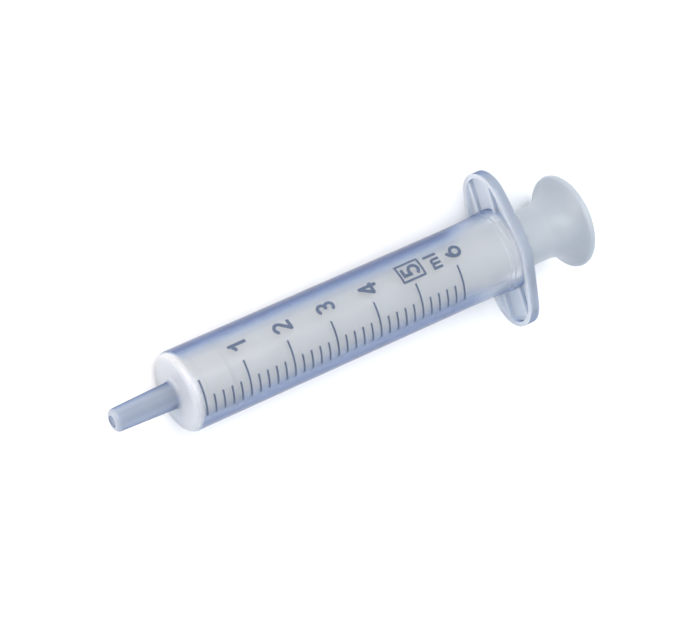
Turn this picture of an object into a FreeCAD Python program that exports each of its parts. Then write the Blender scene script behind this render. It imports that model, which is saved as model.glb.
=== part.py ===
import FreeCAD, Part
import math
import os
import re
import Sketcher
from FreeCAD import Matrix, Placement, Rotation, Vector

# Two-piece oral syringe with a plain slip tip, nominal 5 ml, graduated to 6 ml.
#
# The syringe lies on a table. X runs along the axis from the tip to the thumb disc, the wings of the
# finger flange point along Y, and Z is up. Every piece is drawn in one local frame whose origin is on
# the axis at the very end of the tip, and one shared placement puts the origin of the part under the
# middle of the assembly, on the table.

doc = FreeCAD.newDocument("OralSyringe")

# ---------------------------------------------------------------- sizes, in millimetres and degrees
sizes = [
    # slip tip
    ("tipLength", 11.7),
    ("tipEndDiameter", 3.93),
    ("tipTaper", 0.06),
    ("tipBore", 2.0),
    ("tipRound", 0.75),
    ("tipRootRound", 0.8),
    # barrel
    ("barrelBore", 12.2),
    ("barrelWall", 0.85),
    ("barrelLength", 67.0),
    ("endWall", 1.65),
    ("shoulderRound", 1.4),
    ("collarLength", 9.0),
    ("collarRise", 0.35),
    ("mouthChamfer", 0.4),
    ("ridgeHeight", 0.25),
    ("ridgeWidth", 1.2),
    ("ridgeInset", 2.6),
    # finger flange
    ("flangeThickness", 1.8),
    ("flangeWeb", 0.9),
    ("wingSpan", 27.8),
    ("wingEndRadius", 5.5),
    ("hubRim", 0.8),
    ("rimWidth", 0.85),
    ("wingRibWidth", 0.8),
    ("wingRibOffset", 2.65),
    ("wingRibDrop", 0.2),
    # plunger
    ("headGap", 0.15),
    ("headLength", 7.4),
    ("lipClearance", 0.04),
    ("lipWidth", 0.8),
    ("lipSlope", 0.45),
    ("rodClearance", 0.95),
    ("rodWall", 1.3),
    ("headSolid", 2.2),
    ("thumbDiameter", 16.7),
    ("thumbRim", 1.2),
    ("thumbFlare", 5.2),
    ("thumbStandOff", 13.3),
    # printed scale
    ("inkThickness", 0.05),
    ("lineWidth", 0.32),
    ("lineEndAngle", 126.3),
    ("majorSweep", 53.3),
    ("minorSweep", 28.3),
    ("numeralAngle", 53.2),
    ("strokeWidth", 0.56),
    ("boxLine", 0.34),
    # heights and places of the printed characters, as shares of one millilitre of scale
    ("numeralShare", 0.405),
    ("boxLengthShare", 0.55),
    ("boxWidthShare", 0.41),
    ("letterShare", 0.3),
    ("letterPlace", 0.53),
    ("numeralLag", 0.043),
]
sheet = doc.addObject("Spreadsheet::Sheet", "Sizes")
for row, (alias, number) in enumerate(sizes, start=1):
    sheet.set("A%d" % row, alias)
    sheet.set("B%d" % row, str(number))
    sheet.setAlias("B%d" % row, alias)
doc.recompute()
aliases = {alias for alias, number in sizes}

# Distances along the axis from the end of the tip, and radii, each in terms of the sizes above.
shoulder = "tipLength"
floor = "tipLength + endWall"
zeroMark = "tipLength + endWall + headGap"
mouth = "tipLength + barrelLength"
flangeFront = "tipLength + barrelLength - flangeThickness"
thumbBack = "tipLength + barrelLength + thumbStandOff"
boreRadius = "barrelBore / 2"
outerRadius = "(barrelBore / 2 + barrelWall)"
collarRadius = "(barrelBore / 2 + barrelWall + collarRise)"
hubRadius = "(barrelBore / 2 + barrelWall + collarRise + hubRim)"
lipRadius = "(barrelBore / 2 - lipClearance)"
# the rod passes inside the retaining ridge
rodRadius = "(barrelBore / 2 - ridgeHeight - rodClearance)"
# one millilitre of bore, which spaces the graduations
millilitre = "1000 / (pi * (barrelBore / 2) ^ 2)"


def bound(text):
    # Point every size named in an expression at its cell in the sheet.
    return re.sub(r"[A-Za-z]+", lambda word: "Sizes." + word[0] if word[0] in aliases else word[0], text)


def value(text):
    # What an expression in sizes comes to, as a number.
    return float(sheet.evalExpression(bound(text)))


# ---------------------------------------------------------------- shared helpers
def originPlane(body, role):
    return next(feature for feature in body.Origin.OriginFeatures if feature.Role == role)


def newBody(label):
    body = doc.addObject("PartDesign::Body", label)
    body.Label = label
    placeInAssembly(body)
    return body


def placeInAssembly(piece):
    # Middle of the whole length over the origin, and the widest round piece resting on the table.
    piece.setExpression("Placement.Base.x", bound("-(%s) / 2" % thumbBack))
    piece.setExpression("Placement.Base.z", bound("max(thumbDiameter / 2; %s)" % hubRadius))


def newSketch(body, name, role, offset=None):
    sketch = body.newObject("Sketcher::SketchObject", name)
    sketch.AttachmentSupport = [(originPlane(body, role), "")]
    sketch.MapMode = "FlatFace"
    if offset:
        sketch.setExpression("AttachmentOffset.Base.z", bound(offset))
    return sketch


def tieCoordinate(sketch, kind, geometry, position, text):
    # Hold one coordinate of a sketch point at an expression in sizes.
    if text == "0":
        axis = -2 if kind == "DistanceX" else -1
        sketch.addConstraint(Sketcher.Constraint("PointOnObject", geometry, position, axis))
        return
    index = sketch.addConstraint(Sketcher.Constraint(kind, -1, 1, geometry, position, value(text)))
    sketch.setExpression("Constraints[%d]" % index, bound(text))


def arcBetween(start, end, radius, side):
    # The shorter arc from start to end. Its centre is to the left of the way there if side is 1.
    chord = end.sub(start)
    reach = math.sqrt(radius ** 2 - (chord.Length / 2) ** 2)
    across = Vector(-chord.y, chord.x, 0).normalize().multiply(side)
    middle = start.add(end).multiply(0.5)
    centre = middle.add(across.multiply(reach))
    crown = centre.add(middle.sub(centre).normalize().multiply(radius))
    return Part.Arc(start, crown, end)


def drawOutline(sketch, corners, arcs=None):
    # A closed outline through the corners. The edge that leaves a corner listed in arcs is an arc of
    # the given radius; the others are straight.
    arcs = arcs or {}
    points = [Vector(value(x), value(y), 0) for x, y in corners]
    first = sketch.GeometryCount
    for index, start in enumerate(points):
        end = points[(index + 1) % len(points)]
        if index in arcs:
            radius, side = arcs[index]
            sketch.addGeometry(arcBetween(start, end, value(radius), side))
        else:
            sketch.addGeometry(Part.LineSegment(start, end))
    # An arc runs counterclockwise in the sketch, so its start is the far corner when it turns right.
    ends = []
    for index in range(len(points)):
        turnsRight = index in arcs and arcs[index][1] < 0
        ends.append((2, 1) if turnsRight else (1, 2))
    for index in range(len(points)):
        following = (index + 1) % len(points)
        sketch.addConstraint(Sketcher.Constraint("Coincident", first + index, ends[index][1],
                                                 first + following, ends[following][0]))
    for index, (x, y) in enumerate(corners):
        tieCoordinate(sketch, "DistanceX", first + index, ends[index][0], x)
        tieCoordinate(sketch, "DistanceY", first + index, ends[index][0], y)
    for index, (radius, side) in arcs.items():
        constraint = sketch.addConstraint(Sketcher.Constraint("Radius", first + index, value(radius)))
        sketch.setExpression("Constraints[%d]" % constraint, bound(radius))


def drawWings(sketch, hub, reach, end):
    # The outline round a hub circle and two smaller end circles that reach out along the sketch's X,
    # joined by straight tangents.
    slope = "((%s - %s) / (%s - %s))" % (hub, end, reach, end)
    rise = "sqrt(1 - %s ^ 2)" % slope
    farX = "%s - %s + %s * %s" % (reach, end, end, slope)
    farY = "%s * %s" % (end, rise)
    nearX = "%s * %s" % (hub, slope)
    nearY = "%s * %s" % (hub, rise)
    drawOutline(sketch, [(farX, "-(%s)" % farY),
                         (farX, farY),
                         (nearX, nearY),
                         ("-(%s)" % nearX, nearY),
                         ("-(%s)" % farX, farY),
                         ("-(%s)" % farX, "-(%s)" % farY),
                         ("-(%s)" % nearX, "-(%s)" % nearY),
                         (nearX, "-(%s)" % nearY)],
                {0: (end, 1), 2: (hub, 1), 4: (end, 1), 6: (hub, 1)})


def drawCircle(sketch, radius):
    circle = sketch.addGeometry(Part.Circle(Vector(0, 0, 0), Vector(0, 0, 1), value(radius)))
    sketch.addConstraint(Sketcher.Constraint("Coincident", circle, 3, -1, 1))
    constraint = sketch.addConstraint(Sketcher.Constraint("Radius", circle, value(radius)))
    sketch.setExpression("Constraints[%d]" % constraint, bound(radius))


def drawBar(sketch, left, right, bottom, top):
    drawOutline(sketch, [(left, bottom), (right, bottom), (right, top), (left, top)])


def addLength(body, kind, name, sketch, length):
    # A Pad or a Pocket of the sketch towards +X.
    feature = body.newObject("PartDesign::" + kind, name)
    feature.Profile = sketch
    feature.setExpression("Length", bound(length))
    if kind == "Pocket":
        feature.Reversed = True
    doc.recompute()
    return feature


def addTurned(body, kind, name, sketch):
    # A Revolution or a Groove of the sketch right round the syringe's axis.
    feature = body.newObject("PartDesign::" + kind, name)
    feature.Profile = sketch
    feature.ReferenceAxis = (sketch, ["H_Axis"])
    feature.Angle = 360
    doc.recompute()
    return feature


def mustChange(body, before, grows, what):
    # A cut that points away from the solid removes nothing and says nothing, so compare volumes.
    after = body.Shape.Volume
    if (after > before) != grows or abs(after - before) < 0.01:
        raise RuntimeError("%s changed the volume from %.2f to %.2f" % (what, before, after))
    return after


# ---------------------------------------------------------------- barrel, one clear moulding
def makeBarrel():
    body = newBody("barrel")

    # finger flange: a round hub that tapers into the two wings
    wings = newSketch(body, "WingOutline", "YZ_Plane", flangeFront)
    drawWings(wings, hubRadius, "(wingSpan / 2)", "wingEndRadius")
    addLength(body, "Pad", "Wings", wings, "flangeThickness")
    volume = body.Shape.Volume

    # recess on the tip side, which leaves a raised rim all round the flange
    recessDepth = "flangeThickness - flangeWeb"
    recess = newSketch(body, "RecessOutline", "YZ_Plane", flangeFront)
    drawWings(recess, "(%s - rimWidth)" % hubRadius, "(wingSpan / 2 - rimWidth)",
              "(wingEndRadius - rimWidth)")
    addLength(body, "Pocket", "Recess", recess, recessDepth)
    volume = mustChange(body, volume, False, "the recess")

    # two ribs along each wing, from the barrel to the middle of the rim
    ribs = newSketch(body, "WingRibOutlines", "YZ_Plane", flangeFront + " + wingRibDrop")
    ribEnd = ("wingSpan / 2 - wingEndRadius + sqrt((wingEndRadius - rimWidth / 2) ^ 2"
              " - (wingRibOffset + wingRibWidth / 2) ^ 2)")
    for side in ("", "-"):
        inner = "%s(wingRibOffset - wingRibWidth / 2)" % side
        outer = "%s(wingRibOffset + wingRibWidth / 2)" % side
        drawBar(ribs, "-(%s)" % ribEnd, ribEnd, inner, outer)
    addLength(body, "Pad", "WingRibs", ribs, recessDepth + " - wingRibDrop")
    volume = mustChange(body, volume, True, "the wing ribs")

    # tip, shoulder and tube, turned as one solid
    turned = newSketch(body, "TurnedOutline", "XY_Plane")
    tipRadius = "tipEndDiameter / 2"
    tipRootRadius = "tipEndDiameter / 2 + tipTaper * (tipLength - tipRootRound) / 2"
    collarStart = flangeFront + " - collarLength"
    collarBow = "(collarLength ^ 2 + collarRise ^ 2) / (2 * collarRise)"
    drawOutline(turned, [("0", "0"),
                         (mouth, "0"),
                         (mouth, collarRadius),
                         (flangeFront, collarRadius),
                         (collarStart, outerRadius),
                         (shoulder + " + shoulderRound", outerRadius),
                         (shoulder, outerRadius + " - shoulderRound"),
                         (shoulder, tipRootRadius + " + tipRootRound"),
                         (shoulder + " - tipRootRound", tipRootRadius),
                         ("tipRound", tipRadius + " + tipTaper * tipRound / 2"),
                         ("0", tipRadius + " - tipRound")],
                {3: (collarBow, -1), 5: ("shoulderRound", 1), 7: ("tipRootRound", -1),
                 9: ("tipRound * 1.05", 1)})
    addTurned(body, "Revolution", "Tube", turned)
    volume = mustChange(body, volume, True, "the tube")

    # bore: the small hole of the tip, the cylinder, the retaining ridge and the chamfered mouth
    bore = newSketch(body, "BoreOutline", "XY_Plane")
    ridgeStart = mouth + " - ridgeInset - ridgeWidth"
    ridgeRadius = boreRadius + " - ridgeHeight"
    drawOutline(bore, [("0", "0"),
                       (mouth, "0"),
                       (mouth, boreRadius + " + mouthChamfer"),
                       (mouth + " - mouthChamfer", boreRadius),
                       (mouth + " - ridgeInset", boreRadius),
                       (mouth + " - ridgeInset - ridgeHeight", ridgeRadius),
                       (ridgeStart + " + ridgeHeight", ridgeRadius),
                       (ridgeStart, boreRadius),
                       (floor, boreRadius),
                       (floor, "tipBore / 2"),
                       ("0", "tipBore / 2")])
    addTurned(body, "Groove", "Bore", bore)
    mustChange(body, volume, False, "the bore")
    return body


# ---------------------------------------------------------------- plunger, one white moulding
def makePlunger():
    body = newBody("plunger")

    # head: a front and a rear lip that run in the bore, with a relieved waist between them
    head = newSketch(body, "HeadOutline", "XY_Plane")
    waist = lipRadius + " - lipSlope"
    headBack = zeroMark + " + headLength"
    drawOutline(head, [(zeroMark, "0"),
                       (headBack, "0"),
                       (headBack, waist),
                       (headBack + " - lipSlope / 2", lipRadius),
                       (headBack + " - lipSlope / 2 - lipWidth", lipRadius),
                       (headBack + " - lipSlope * 3 / 2 - lipWidth", waist),
                       (zeroMark + " + lipSlope * 3 / 2 + lipWidth", waist),
                       (zeroMark + " + lipSlope / 2 + lipWidth", lipRadius),
                       (zeroMark + " + lipSlope / 2", lipRadius),
                       (zeroMark, lipRadius + " - lipSlope / 2")])
    addTurned(body, "Revolution", "Head", head)
    volume = body.Shape.Volume

    # rod: a round tube from the head into the flare of the thumb disc
    rodStart = headBack + " - lipSlope / 2"
    rod = newSketch(body, "RodOutline", "YZ_Plane", rodStart)
    drawCircle(rod, rodRadius)
    addLength(body, "Pad", "Rod", rod, "%s - thumbRim - thumbFlare / 2 - (%s)" % (thumbBack, rodStart))
    volume = mustChange(body, volume, True, "the rod")

    # thumb disc: a trumpet flare off the rod and a thin rim with a round edge
    thumb = newSketch(body, "ThumbOutline", "XY_Plane")
    flareStart = thumbBack + " - thumbRim - thumbFlare"
    flareRise = "(thumbDiameter / 2 - %s - thumbRim / 4)" % rodRadius
    flareBow = "(thumbFlare ^ 2 + %s ^ 2) / (2 * %s)" % (flareRise, flareRise)
    rimRadius = "thumbDiameter / 2 - thumbRim / 4"
    drawOutline(thumb, [(flareStart, "0"),
                        (thumbBack, "0"),
                        (thumbBack, "thumbDiameter / 2 - thumbRim / 2"),
                        (thumbBack + " - thumbRim / 2", "thumbDiameter / 2"),
                        (thumbBack + " - thumbRim", rimRadius),
                        (flareStart, rodRadius)],
                {2: ("thumbRim / 2", 1), 3: ("thumbRim / 1.6", 1), 4: (flareBow, -1)})
    addTurned(body, "Revolution", "Thumb", thumb)
    volume = mustChange(body, volume, True, "the thumb disc")

    # the hollow that a core leaves from the thumb end, down to the solid front of the head
    hollow = newSketch(body, "HollowOutline", "XY_Plane")
    hollowStart = zeroMark + " + headSolid"
    hollowRadius = "(%s - rodWall)" % rodRadius
    drawOutline(hollow, [(hollowStart, "0"),
                         (thumbBack, "0"),
                         (thumbBack, hollowRadius),
                         (hollowStart, hollowRadius)])
    addTurned(body, "Groove", "Hollow", hollow)
    mustChange(body, volume, False, "the hollow")
    return body


# ---------------------------------------------------------------- printed graduation lines
def makeLines(label, counts, sweep):
    # Thin arcs of ink on the outside of the barrel, one for each count of 0.2 ml. The lines end at
    # one shared angle, measured about the axis from the +Y wing over the top of the barrel.
    sectors = []
    for count in counts:
        sector = doc.addObject("Part::Cylinder", "%s_sector_%02d" % (label, count))
        sector.setExpression("Radius", bound(outerRadius + " + inkThickness"))
        sector.setExpression("Height", bound("lineWidth"))
        sector.setExpression("Angle", bound(sweep))
        sector.Placement.Rotation = Rotation(Vector(1, 1, 1), 120)
        sector.setExpression("Placement.Base.x", bound("%s + %d * 0.2 * %s - lineWidth / 2"
                                                       % (zeroMark, count, millilitre)))
        sectors.append(sector)
    group = doc.addObject("Part::Compound", label + "_sectors")
    group.Links = sectors
    barrelCore = doc.addObject("Part::Cylinder", label + "_barrel")
    barrelCore.setExpression("Radius", bound(outerRadius))
    barrelCore.setExpression("Height", bound(mouth))
    barrelCore.Placement.Rotation = Rotation(Vector(0, 1, 0), 90)
    lines = doc.addObject("Part::Cut", label)
    lines.Label = label
    lines.Base = group
    lines.Tool = barrelCore
    turnToScale = "rotation(vector(1; 0; 0); lineEndAngle - %s)" % sweep
    place = "vector(-(%s) / 2; 0; max(thumbDiameter / 2; %s))" % (thumbBack, hubRadius)
    lines.setExpression("Placement", bound("placement(%s; %s)" % (place, turnToScale)))
    return lines


# ---------------------------------------------------------------- printed characters
def bar(start, end, width):
    # A straight stroke with square ends.
    along = Vector(end[0] - start[0], end[1] - start[1], 0)
    across = Vector(-along.y, along.x, 0).normalize().multiply(width / 2)
    first = Vector(start[0], start[1], 0)
    last = Vector(end[0], end[1], 0)
    corners = [first.sub(across), last.sub(across), last.add(across), first.add(across)]
    return Part.Face(Part.makePolygon(corners + corners[:1]))


def bow(centre, radius, width, fromAngle, toAngle):
    # A stroke along an arc, counterclockwise between two angles in degrees.
    middle = Vector(centre[0], centre[1], 0)
    axis = Vector(0, 0, 1)
    disc = Part.makeCylinder(radius + width / 2, 1, middle, axis, toAngle - fromAngle)
    ring = disc.cut(Part.makeCylinder(radius - width / 2, 1, middle, axis))
    ring.rotate(middle, axis, fromAngle)
    return next(face for face in ring.Faces if abs(face.BoundBox.ZMax) < 1e-6)


def digitStrokes(digit, tall, width):
    # One digit, centred on the origin, as overlapping strokes of one width.
    top = tall / 2 - width / 2
    bowl = (tall - width) / 4
    if digit == 1:
        return [bar((0.15 * tall, -tall / 2), (0.15 * tall, tall / 2), width),
                bar((0.15 * tall, top - 0.1 * tall), (-0.16 * tall, top - 0.28 * tall), width)]
    if digit == 2:
        round = bowl * 1.05
        tilt = math.radians(-38)
        turn = (round * math.cos(tilt), top - round + round * math.sin(tilt))
        return [bow((0, top - round), round, width, -38, 165),
                bar(turn, (-round, -top), width),
                bar((-round - width / 3, -top), (round + width / 3, -top), width)]
    if digit == 3:
        return [bow((0, bowl), bowl, width, -90, 150),
                bow((0, -bowl), bowl, width, -150, 90),
                bar((-bowl * 0.35, 0), (0, 0), width)]
    if digit == 4:
        return [bar((0.14 * tall, -tall / 2), (0.14 * tall, tall / 2), width),
                bar((-0.3 * tall, -0.2 * tall), (0.32 * tall, -0.2 * tall), width),
                bar((-0.26 * tall, -0.2 * tall), (0.12 * tall, top), width)]
    if digit == 5:
        belly = bowl * 1.22
        return [bow((-0.1 * belly, -top + belly), belly, width, -150, 120),
                bar((-0.7 * belly, top), (0.85 * belly, top), width),
                bar((-0.62 * belly, top + width / 2), (-0.72 * belly, -top + belly * 1.55), width)]
    belly = bowl * 1.18
    sweep = belly * 2.3
    return [bow((0, -top + belly), belly, width, 0, 360),
            bow((sweep - belly, -top + belly), sweep, width, 118, 180)]


def letterStrokes(letter, tall, width):
    # A small m or l, standing on the same line, centred on the origin across its width.
    foot = -tall / 2
    if letter == "l":
        return [bar((0, foot), (0, foot + tall), width)]
    arch = tall * 0.16
    shoulderHeight = foot + tall * 0.7 - arch - width / 2
    return [bar((-2 * arch, foot), (-2 * arch, foot + tall * 0.7), width),
            bar((0, foot), (0, shoulderHeight), width),
            bar((2 * arch, foot), (2 * arch, shoulderHeight), width),
            bow((-arch, shoulderHeight), arch, width, 0, 180),
            bow((arch, shoulderHeight), arch, width, 0, 180)]


def printOn(label, characters):
    # Project flat characters through a thin skin of ink on the barrel. Each one is a list of strokes
    # with its distance along the axis and its shift round the barrel. The characters read with their
    # tops towards the tip.
    radius = value(outerRadius)
    length = value(mouth)
    xAxis = Vector(1, 0, 0)
    skin = Part.makeCylinder(radius + value("inkThickness"), length, Vector(0, 0, 0), xAxis)
    skin = skin.cut(Part.makeCylinder(radius, length, Vector(0, 0, 0), xAxis))
    solids = []
    for strokes, along, round in characters:
        angle = math.radians(value("numeralAngle")) - round / radius
        outward = Vector(0, math.cos(angle), math.sin(angle))
        rightward = Vector(0, math.sin(angle), -math.cos(angle))
        stamps = [stroke.extrude(Vector(0, 0, radius * 2)) for stroke in strokes]
        stamp = stamps[0].multiFuse(stamps[1:]).removeSplitter() if len(stamps) > 1 else stamps[0]
        stamp.Placement = Placement(Matrix(0, -1, 0, along,
                                           rightward.y, 0, outward.y, 0,
                                           rightward.z, 0, outward.z, 0,
                                           0, 0, 0, 1))
        solids.extend(skin.common(stamp).Solids)
    piece = doc.addObject("Part::Feature", label)
    piece.Label = label
    piece.Shape = Part.Compound(solids) if len(solids) > 1 else solids[0]
    placeInAssembly(piece)
    return piece


def makeCharacters():
    step = value(millilitre)
    tall = value("numeralShare") * step
    stroke = value("strokeWidth")
    zero = value(zeroMark)
    lag = value("numeralLag") * step
    digits = [(digitStrokes(digit, tall, stroke), zero + lag + digit * step, 0) for digit in range(1, 7)]
    numerals = printOn("numerals", digits)

    long = value("boxLengthShare") * step
    wide = value("boxWidthShare") * step
    line = value("boxLine")
    frame = Part.makePlane(wide, long, Vector(-wide / 2, -long / 2, 0))
    window = Part.makePlane(wide - 2 * line, long - 2 * line, Vector(-wide / 2 + line, -long / 2 + line, 0))
    box = printOn("capacity_box", [(frame.cut(window).Faces, zero + lag + 5 * step, 0)])

    small = value("letterShare") * step
    between = zero + lag + (5 + value("letterPlace")) * step
    letterStroke = stroke * 0.8
    letters = [(letterStrokes("m", small, letterStroke), between, -small * 0.25),
               (letterStrokes("l", small, letterStroke), between, small * 0.42)]
    return [numerals, box, printOn("unit_letters", letters)]


pieces = [makeBarrel(), makePlunger()]
wholeMarks = [count for count in range(31) if count % 5 == 0]
partMarks = [count for count in range(31) if count % 5]
pieces.append(makeLines("major_marks", wholeMarks, "majorSweep"))
pieces.append(makeLines("minor_marks", partMarks, "minorSweep"))
pieces.extend(makeCharacters())
doc.recompute()

# ---------------------------------------------------------------- check and write
for thing in doc.Objects:
    if "Invalid" in thing.State or "Error" in thing.State:
        raise RuntimeError("%s failed: %s" % (thing.Name, thing.State))
for piece in pieces:
    if piece.Shape.isNull() or not piece.Shape.isValid():
        raise RuntimeError("%s has no valid shape" % piece.Label)

os.makedirs("parts", exist_ok=True)
for piece in pieces:
    piece.Shape.exportStep(os.path.join("parts", piece.Label + ".step"))
    box = piece.Shape.BoundBox
    print("%-14s solids %2d volume %9.3f  x %.2f..%.2f y %.2f..%.2f z %.2f..%.2f"
          % (piece.Label, len(piece.Shape.Solids), piece.Shape.Volume,
             box.XMin, box.XMax, box.YMin, box.YMax, box.ZMin, box.ZMax))
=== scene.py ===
import math
import bpy
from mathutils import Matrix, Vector


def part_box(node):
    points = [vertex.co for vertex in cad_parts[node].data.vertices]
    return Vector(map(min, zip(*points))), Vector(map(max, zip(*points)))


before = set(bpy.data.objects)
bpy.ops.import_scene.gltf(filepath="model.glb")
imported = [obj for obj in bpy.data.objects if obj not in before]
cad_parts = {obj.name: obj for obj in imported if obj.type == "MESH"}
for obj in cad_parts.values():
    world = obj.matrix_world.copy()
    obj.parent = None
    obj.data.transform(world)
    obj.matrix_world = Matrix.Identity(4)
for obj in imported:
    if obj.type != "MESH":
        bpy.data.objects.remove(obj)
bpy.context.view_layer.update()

mm = 0.001  # everything in Blender is in metres
print("frame loaded,", len(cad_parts), "nodes")


# colours are written as sRGB hex and used as linear RGBA
def hexColour(code):
    channels = [int(code[i:i + 2], 16) / 255 for i in (1, 3, 5)]
    linear = [c / 12.92 if c <= 0.04045 else ((c + 0.055) / 1.055) ** 2.4 for c in channels]
    return (*linear, 1)


# one node, its settings, and what feeds its inputs
def addNode(tree, kind, settings=None, inputs=None):
    node = tree.nodes.new(kind)
    for name, value in (settings or {}).items():
        setattr(node, name, value)
    for socket, value in (inputs or {}).items():
        if isinstance(value, bpy.types.NodeSocket):
            tree.links.new(value, node.inputs[socket])
        else:
            node.inputs[socket].default_value = value
    return node


def newMaterial(name):
    material = bpy.data.materials.new(name)
    material.use_nodes = True
    material.node_tree.nodes.clear()
    return material, material.node_tree


# the stops of a colour ramp, as places and hex colours
def setStops(ramp, stops):
    while len(ramp.color_ramp.elements) < len(stops):
        ramp.color_ramp.elements.new(0.5)
    for stop, (place, colour) in zip(ramp.color_ramp.elements, stops):
        stop.position = place
        stop.color = hexColour(colour)


def giveMaterial(piece, material):
    piece.data.materials.clear()
    piece.data.materials.append(material)


# Clarified polypropylene, injection moulded. Clear with a faint cool haze, glossy, and a little
# uneven where the melt flowed along the barrel. A round wall turns blue towards its edges, partly where
# the eye looks through the most of it and partly as a painted dark reflection that deepens to navy at
# the very edge; the flat end faces are only hazier. The blue is painted deeper towards +Y, as painted
# shade on that side. The thick tip is cooler than the barrel, the collar's edges are paler, and the
# finger flange is frosted.
barrelPlastic = {"deep": "#7bbaed", "depthDensity": 70.0, "clear": 0.8, "clearEnds": 0.5,
                 "roughness": 0.22, "ior": 1.49, "skin": 0.06, "skinRoughness": 0.06,
                 "flowWidth": 1.6, "flowStretch": 0.12, "flowDetail": 3, "flowHeight": 0.010,
                 "edgeTintAndPaintedReflection": ((0.24, "#fbfcfd"), (0.38, "#cdd8ea"), (0.47, "#9aaed4"), (0.58, "#4f6ca8"),
                           (0.7, "#1d3573")),
                 "along": ((-34.8, "#bec7d5"), (-33.6, "#ffffff"), (30.4, "#ffffff"), (31.4, "#dfe5ee")),
                 "tip": (-33.6, -34.6), "tipRoughness": 0.4, "tipEdge": 0.78,
                 "grip": (30.4, 31.4), "gripRoughness": 0.4,
                 "collar": (20.0, 25.0), "collarEdge": 0.7, "paintedShadeMinusY": 0.89, "paintedShadePlusY": 1.08}


def clarifiedPolypropylene():
    look = barrelPlastic
    material, tree = newMaterial("clarified_polypropylene")
    where = addNode(tree, "ShaderNodeTexCoord")
    stretch = addNode(tree, "ShaderNodeMapping", None,
                      {"Vector": where.outputs["Object"], "Scale": (look["flowStretch"], 1, 1)})
    flow = addNode(tree, "ShaderNodeTexNoise", None,
                   {"Vector": stretch.outputs["Vector"], "Scale": 1 / (look["flowWidth"] * mm),
                    "Detail": look["flowDetail"]})
    bump = addNode(tree, "ShaderNodeBump", None,
                   {"Height": flow.outputs["Fac"], "Distance": look["flowHeight"] * mm, "Strength": 1})

    # how steeply the round wall is seen: 0 on the flat ends, and raised on the +Y side as painted shade
    slant = addNode(tree, "ShaderNodeLayerWeight")
    facing = addNode(tree, "ShaderNodeSeparateXYZ", None, {"Vector": where.outputs["Normal"]})
    endFace = addNode(tree, "ShaderNodeMath", {"operation": "ABSOLUTE"}, {0: facing.outputs["X"]})
    roundWall = addNode(tree, "ShaderNodeMath", {"operation": "SUBTRACT"}, {0: 1.0, 1: endFace.outputs[0]})
    edge = addNode(tree, "ShaderNodeMath", {"operation": "MULTIPLY"},
                   {0: slant.outputs["Facing"], 1: roundWall.outputs[0]})
    # painted shade: the edge tint is made deeper on the +Y side and lighter on the -Y side, by normal
    # direction
    paintedShadeBySide = addNode(tree, "ShaderNodeMapRange", None,
                        {"Value": facing.outputs["Y"], "From Min": -1.0, "To Min": look["paintedShadeMinusY"],
                         "To Max": look["paintedShadePlusY"]})
    edgeWithPaintedShade = addNode(tree, "ShaderNodeMath", {"operation": "MULTIPLY"},
                       {0: edge.outputs[0], 1: paintedShadeBySide.outputs["Result"]})

    # what changes along the barrel, each between two distances in millimetres
    along = addNode(tree, "ShaderNodeSeparateXYZ", None, {"Vector": where.outputs["Object"]})
    atGrip, atCollar, atTip = [
        {"Value": along.outputs["X"], "From Min": look[place][0] * mm, "From Max": look[place][1] * mm}
        for place in ("grip", "collar", "tip")]
    paleCollar = addNode(tree, "ShaderNodeMapRange", None,
                         {**atCollar, "To Min": 1.0, "To Max": look["collarEdge"]})
    paleTip = addNode(tree, "ShaderNodeMapRange", None,
                      {**atTip, "To Min": 1.0, "To Max": look["tipEdge"]})
    paler = addNode(tree, "ShaderNodeMath", {"operation": "MINIMUM"},
                    {0: paleCollar.outputs["Result"], 1: paleTip.outputs["Result"]})
    softEdge = addNode(tree, "ShaderNodeMath", {"operation": "MULTIPLY"},
                       {0: edgeWithPaintedShade.outputs[0], 1: paler.outputs[0]})
    # edge ramp: the blue of looking through more wall, and towards its navy end a painted dark reflection
    ramp = addNode(tree, "ShaderNodeValToRGB", None, {"Fac": softEdge.outputs[0]})
    setStops(ramp, look["edgeTintAndPaintedReflection"])
    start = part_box("barrel")[0][0]
    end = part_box("barrel")[1][0]
    share = addNode(tree, "ShaderNodeMapRange", None,
                    {"Value": along.outputs["X"], "From Min": start, "From Max": end})
    partTone = addNode(tree, "ShaderNodeValToRGB", None, {"Fac": share.outputs["Result"]})
    setStops(partTone, [((x * mm - start) / (end - start), tone) for x, tone in look["along"]])
    tint = addNode(tree, "ShaderNodeMix", {"data_type": "RGBA", "blend_type": "MULTIPLY"},
                   {0: 1.0, 6: ramp.outputs["Color"], 7: partTone.outputs["Color"]})
    frostedGrip = addNode(tree, "ShaderNodeMapRange", None,
                          {**atGrip, "To Min": look["roughness"], "To Max": look["gripRoughness"]})
    frostedTip = addNode(tree, "ShaderNodeMapRange", None,
                         {**atTip, "To Min": look["roughness"], "To Max": look["tipRoughness"]})
    frosted = addNode(tree, "ShaderNodeMath", {"operation": "MAXIMUM"},
                      {0: frostedGrip.outputs["Result"], 1: frostedTip.outputs["Result"]})

    clear = addNode(tree, "ShaderNodeMapRange", None,
                    {"Value": endFace.outputs[0], "To Min": look["clear"], "To Max": look["clearEnds"]})
    plastic = addNode(tree, "ShaderNodeBsdfPrincipled", None,
                      {"Base Color": tint.outputs[2], "Roughness": frosted.outputs[0], "IOR": look["ior"],
                       # the edge ramp also tints the reflections, darkening them at the edges as painted
                       # dark reflection
                       "Specular Tint": ramp.outputs["Color"],
                       "Transmission Weight": clear.outputs["Result"],
                       "Coat Weight": look["skin"], "Coat Roughness": look["skinRoughness"],
                       "Normal": bump.outputs["Normal"]})
    depth = addNode(tree, "ShaderNodeVolumeAbsorption", None,
                    {"Color": hexColour(look["deep"]), "Density": look["depthDensity"]})
    addNode(tree, "ShaderNodeOutputMaterial", None,
            {"Surface": plastic.outputs["BSDF"], "Volume": depth.outputs["Volume"]})
    return material


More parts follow.
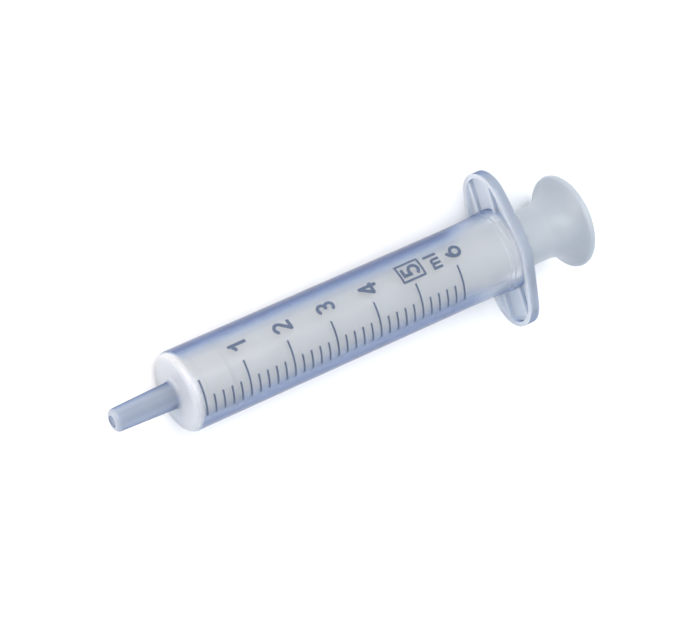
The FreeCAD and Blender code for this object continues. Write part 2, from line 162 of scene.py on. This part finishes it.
# High-density polyethylene, injection moulded, natural white. Milky: light goes a couple of
# millimetres in and comes out cooler, in slightly uneven patches, and the skin is satin with fine
# mould grain.
plungerPlastic = {"base": "#a8aeb3", "cool": "#9da6b0", "patch": 5.0, "patchDetail": 2,
                  "milkiness": 0.6, "depth": 1.6, "radius": (1.0, 1.05, 1.2),
                  "roughness": 0.38, "ior": 1.54,
                  "grain": 0.25, "grainDetail": 4, "grainHeight": 0.006}


def naturalPolyethylene():
    look = plungerPlastic
    material, tree = newMaterial("natural_polyethylene")
    where = addNode(tree, "ShaderNodeTexCoord")
    grain = addNode(tree, "ShaderNodeTexNoise", None,
                    {"Vector": where.outputs["Object"], "Scale": 1 / (look["grain"] * mm),
                     "Detail": look["grainDetail"]})
    bump = addNode(tree, "ShaderNodeBump", None,
                   {"Height": grain.outputs["Fac"], "Distance": look["grainHeight"] * mm, "Strength": 1})
    patch = addNode(tree, "ShaderNodeTexNoise", None,
                    {"Vector": where.outputs["Object"], "Scale": 1 / (look["patch"] * mm),
                     "Detail": look["patchDetail"]})
    tone = addNode(tree, "ShaderNodeMix", {"data_type": "RGBA"},
                   {0: patch.outputs["Fac"], 6: hexColour(look["base"]), 7: hexColour(look["cool"])})
    plastic = addNode(tree, "ShaderNodeBsdfPrincipled", None,
                      {"Base Color": tone.outputs[2], "Roughness": look["roughness"], "IOR": look["ior"],
                       "Subsurface Weight": look["milkiness"], "Subsurface Radius": look["radius"],
                       "Subsurface Scale": look["depth"] * mm, "Normal": bump.outputs["Normal"]})
    addNode(tree, "ShaderNodeOutputMaterial", None, {"Surface": plastic.outputs["BSDF"]})
    return material


# Pad-printed ink, dark slate blue, matt, with slightly thin patches.
printInk = {"full": "#36435a", "thin": "#57657e", "patch": 0.5, "patchDetail": 3, "roughness": 0.55,
            "ior": 1.5}


def padPrintedInk():
    look = printInk
    material, tree = newMaterial("pad_printed_ink")
    where = addNode(tree, "ShaderNodeTexCoord")
    patch = addNode(tree, "ShaderNodeTexNoise", None,
                    {"Vector": where.outputs["Object"], "Scale": 1 / (look["patch"] * mm),
                     "Detail": look["patchDetail"]})
    tone = addNode(tree, "ShaderNodeMix", {"data_type": "RGBA"},
                   {0: patch.outputs["Fac"], 6: hexColour(look["full"]), 7: hexColour(look["thin"])})
    ink = addNode(tree, "ShaderNodeBsdfPrincipled", None,
                  {"Base Color": tone.outputs[2], "Roughness": look["roughness"], "IOR": look["ior"]})
    addNode(tree, "ShaderNodeOutputMaterial", None, {"Surface": ink.outputs["BSDF"]})
    return material


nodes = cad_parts
giveMaterial(nodes["barrel"], clarifiedPolypropylene())
giveMaterial(nodes["plunger"], naturalPolyethylene())
ink = padPrintedInk()
for name in ("major_marks", "minor_marks", "numerals", "capacity_box", "unit_letters"):
    giveMaterial(nodes[name], ink)
print("materials on the CAD nodes")


# White laminate table top, which isn't part of the object. It is tipped a degree, because the
# syringe rests on its flange and on its front edge.
table = {"width": 1200, "colour": "#f4f6f9", "roughness": 0.6, "mottle": 1.11, "mottleDetail": 2,
         "mottleHeight": 0.01, "mottleStrength": 0.3, "hubHeight": 0.25, "hubAt": 30.9,
         "frontHeight": 1.40, "frontAt": -32.9, "gap": 0.02}


def makeTable():
    slope = (table["frontHeight"] - table["hubHeight"]) / (table["hubAt"] - table["frontAt"])
    height = table["hubHeight"] + slope * table["hubAt"] - table["gap"]
    bpy.ops.mesh.primitive_plane_add(size=table["width"] * mm, location=(0, 0, height * mm),
                                     rotation=(0, math.atan(slope), 0))
    top = bpy.context.object
    top.name = "table_top"
    material, tree = newMaterial("white_laminate")
    where = addNode(tree, "ShaderNodeTexCoord")
    mottle = addNode(tree, "ShaderNodeTexNoise", None,
                     {"Vector": where.outputs["Object"], "Scale": 1 / (table["mottle"] * mm),
                      "Detail": table["mottleDetail"]})
    bump = addNode(tree, "ShaderNodeBump", None,
                   {"Height": mottle.outputs["Fac"], "Distance": table["mottleHeight"] * mm,
                    "Strength": table["mottleStrength"]})
    laminate = addNode(tree, "ShaderNodeBsdfPrincipled", None,
                       {"Base Color": hexColour(table["colour"]), "Roughness": table["roughness"],
                        "Normal": bump.outputs["Normal"]})
    addNode(tree, "ShaderNodeOutputMaterial", None, {"Surface": laminate.outputs["BSDF"]})
    giveMaterial(top, material)


makeTable()


# Places and sizes in millimetres, turns in degrees, power in watts. The small softbox lifts the front
# face and the tip.
softboxes = {
    "overhead": {"place": (-60, 95, 355), "aim": (0, 0, 8), "long": 420, "wide": 120, "power": 0.6,
                 "colour": "#ffffff"},
    "tip": {"place": (-100, 50, 36), "aim": (-34, 0, 8), "long": 40, "wide": 40, "power": 0.045,
            "colour": "#ffe8ca"},
}
# the room is brightest overhead and to the far side, and bluer and dimmer towards the walls
room = {"towards": (0.12, 0.2, 0.95), "tones": ((0.0, "#a1aec5"), (0.6, "#ffffff")), "strength": 1.3}
camera = {"place": (-224.0, 99.76, 440.45), "turn": (-1.65, -29.55, -20.41), "lens": 154.3, "sensor": 36,
          "nearest": 10}


def makeLight():
    for name, box in softboxes.items():
        place = Vector(box["place"]) * mm
        target = Vector(box["aim"]) * mm
        bpy.ops.object.light_add(type="AREA", location=place)
        lamp = bpy.context.object
        lamp.name = name + "_softbox"
        lamp.rotation_euler = (target - place).to_track_quat("-Z", "Y").to_euler()
        lamp.data.shape = "RECTANGLE"
        lamp.data.size = box["long"] * mm
        lamp.data.size_y = box["wide"] * mm
        lamp.data.energy = box["power"]
        lamp.data.color = hexColour(box["colour"])[:3]
        lamp.visible_camera = False
    world = bpy.data.worlds.new("room")
    world.use_nodes = True
    tree = world.node_tree
    direction = addNode(tree, "ShaderNodeTexCoord")
    towards = addNode(tree, "ShaderNodeVectorMath", {"operation": "DOT_PRODUCT"},
                      {0: direction.outputs["Generated"], 1: room["towards"]})
    tones = addNode(tree, "ShaderNodeValToRGB", None, {"Fac": towards.outputs["Value"]})
    setStops(tones, room["tones"])
    tree.links.new(tones.outputs["Color"], tree.nodes["Background"].inputs["Color"])
    tree.nodes["Background"].inputs["Strength"].default_value = room["strength"]
    bpy.context.scene.world = world


def makeCamera():
    bpy.ops.object.camera_add(location=Vector(camera["place"]) * mm,
                              rotation=[math.radians(angle) for angle in camera["turn"]])
    eye = bpy.context.object
    eye.data.lens = camera["lens"]
    eye.data.sensor_width = camera["sensor"]
    eye.data.clip_start = camera["nearest"] * mm
    bpy.context.scene.camera = eye


makeLight()
makeCamera()
bpy.context.scene.view_settings.view_transform = "Standard"
print("table, light and camera")
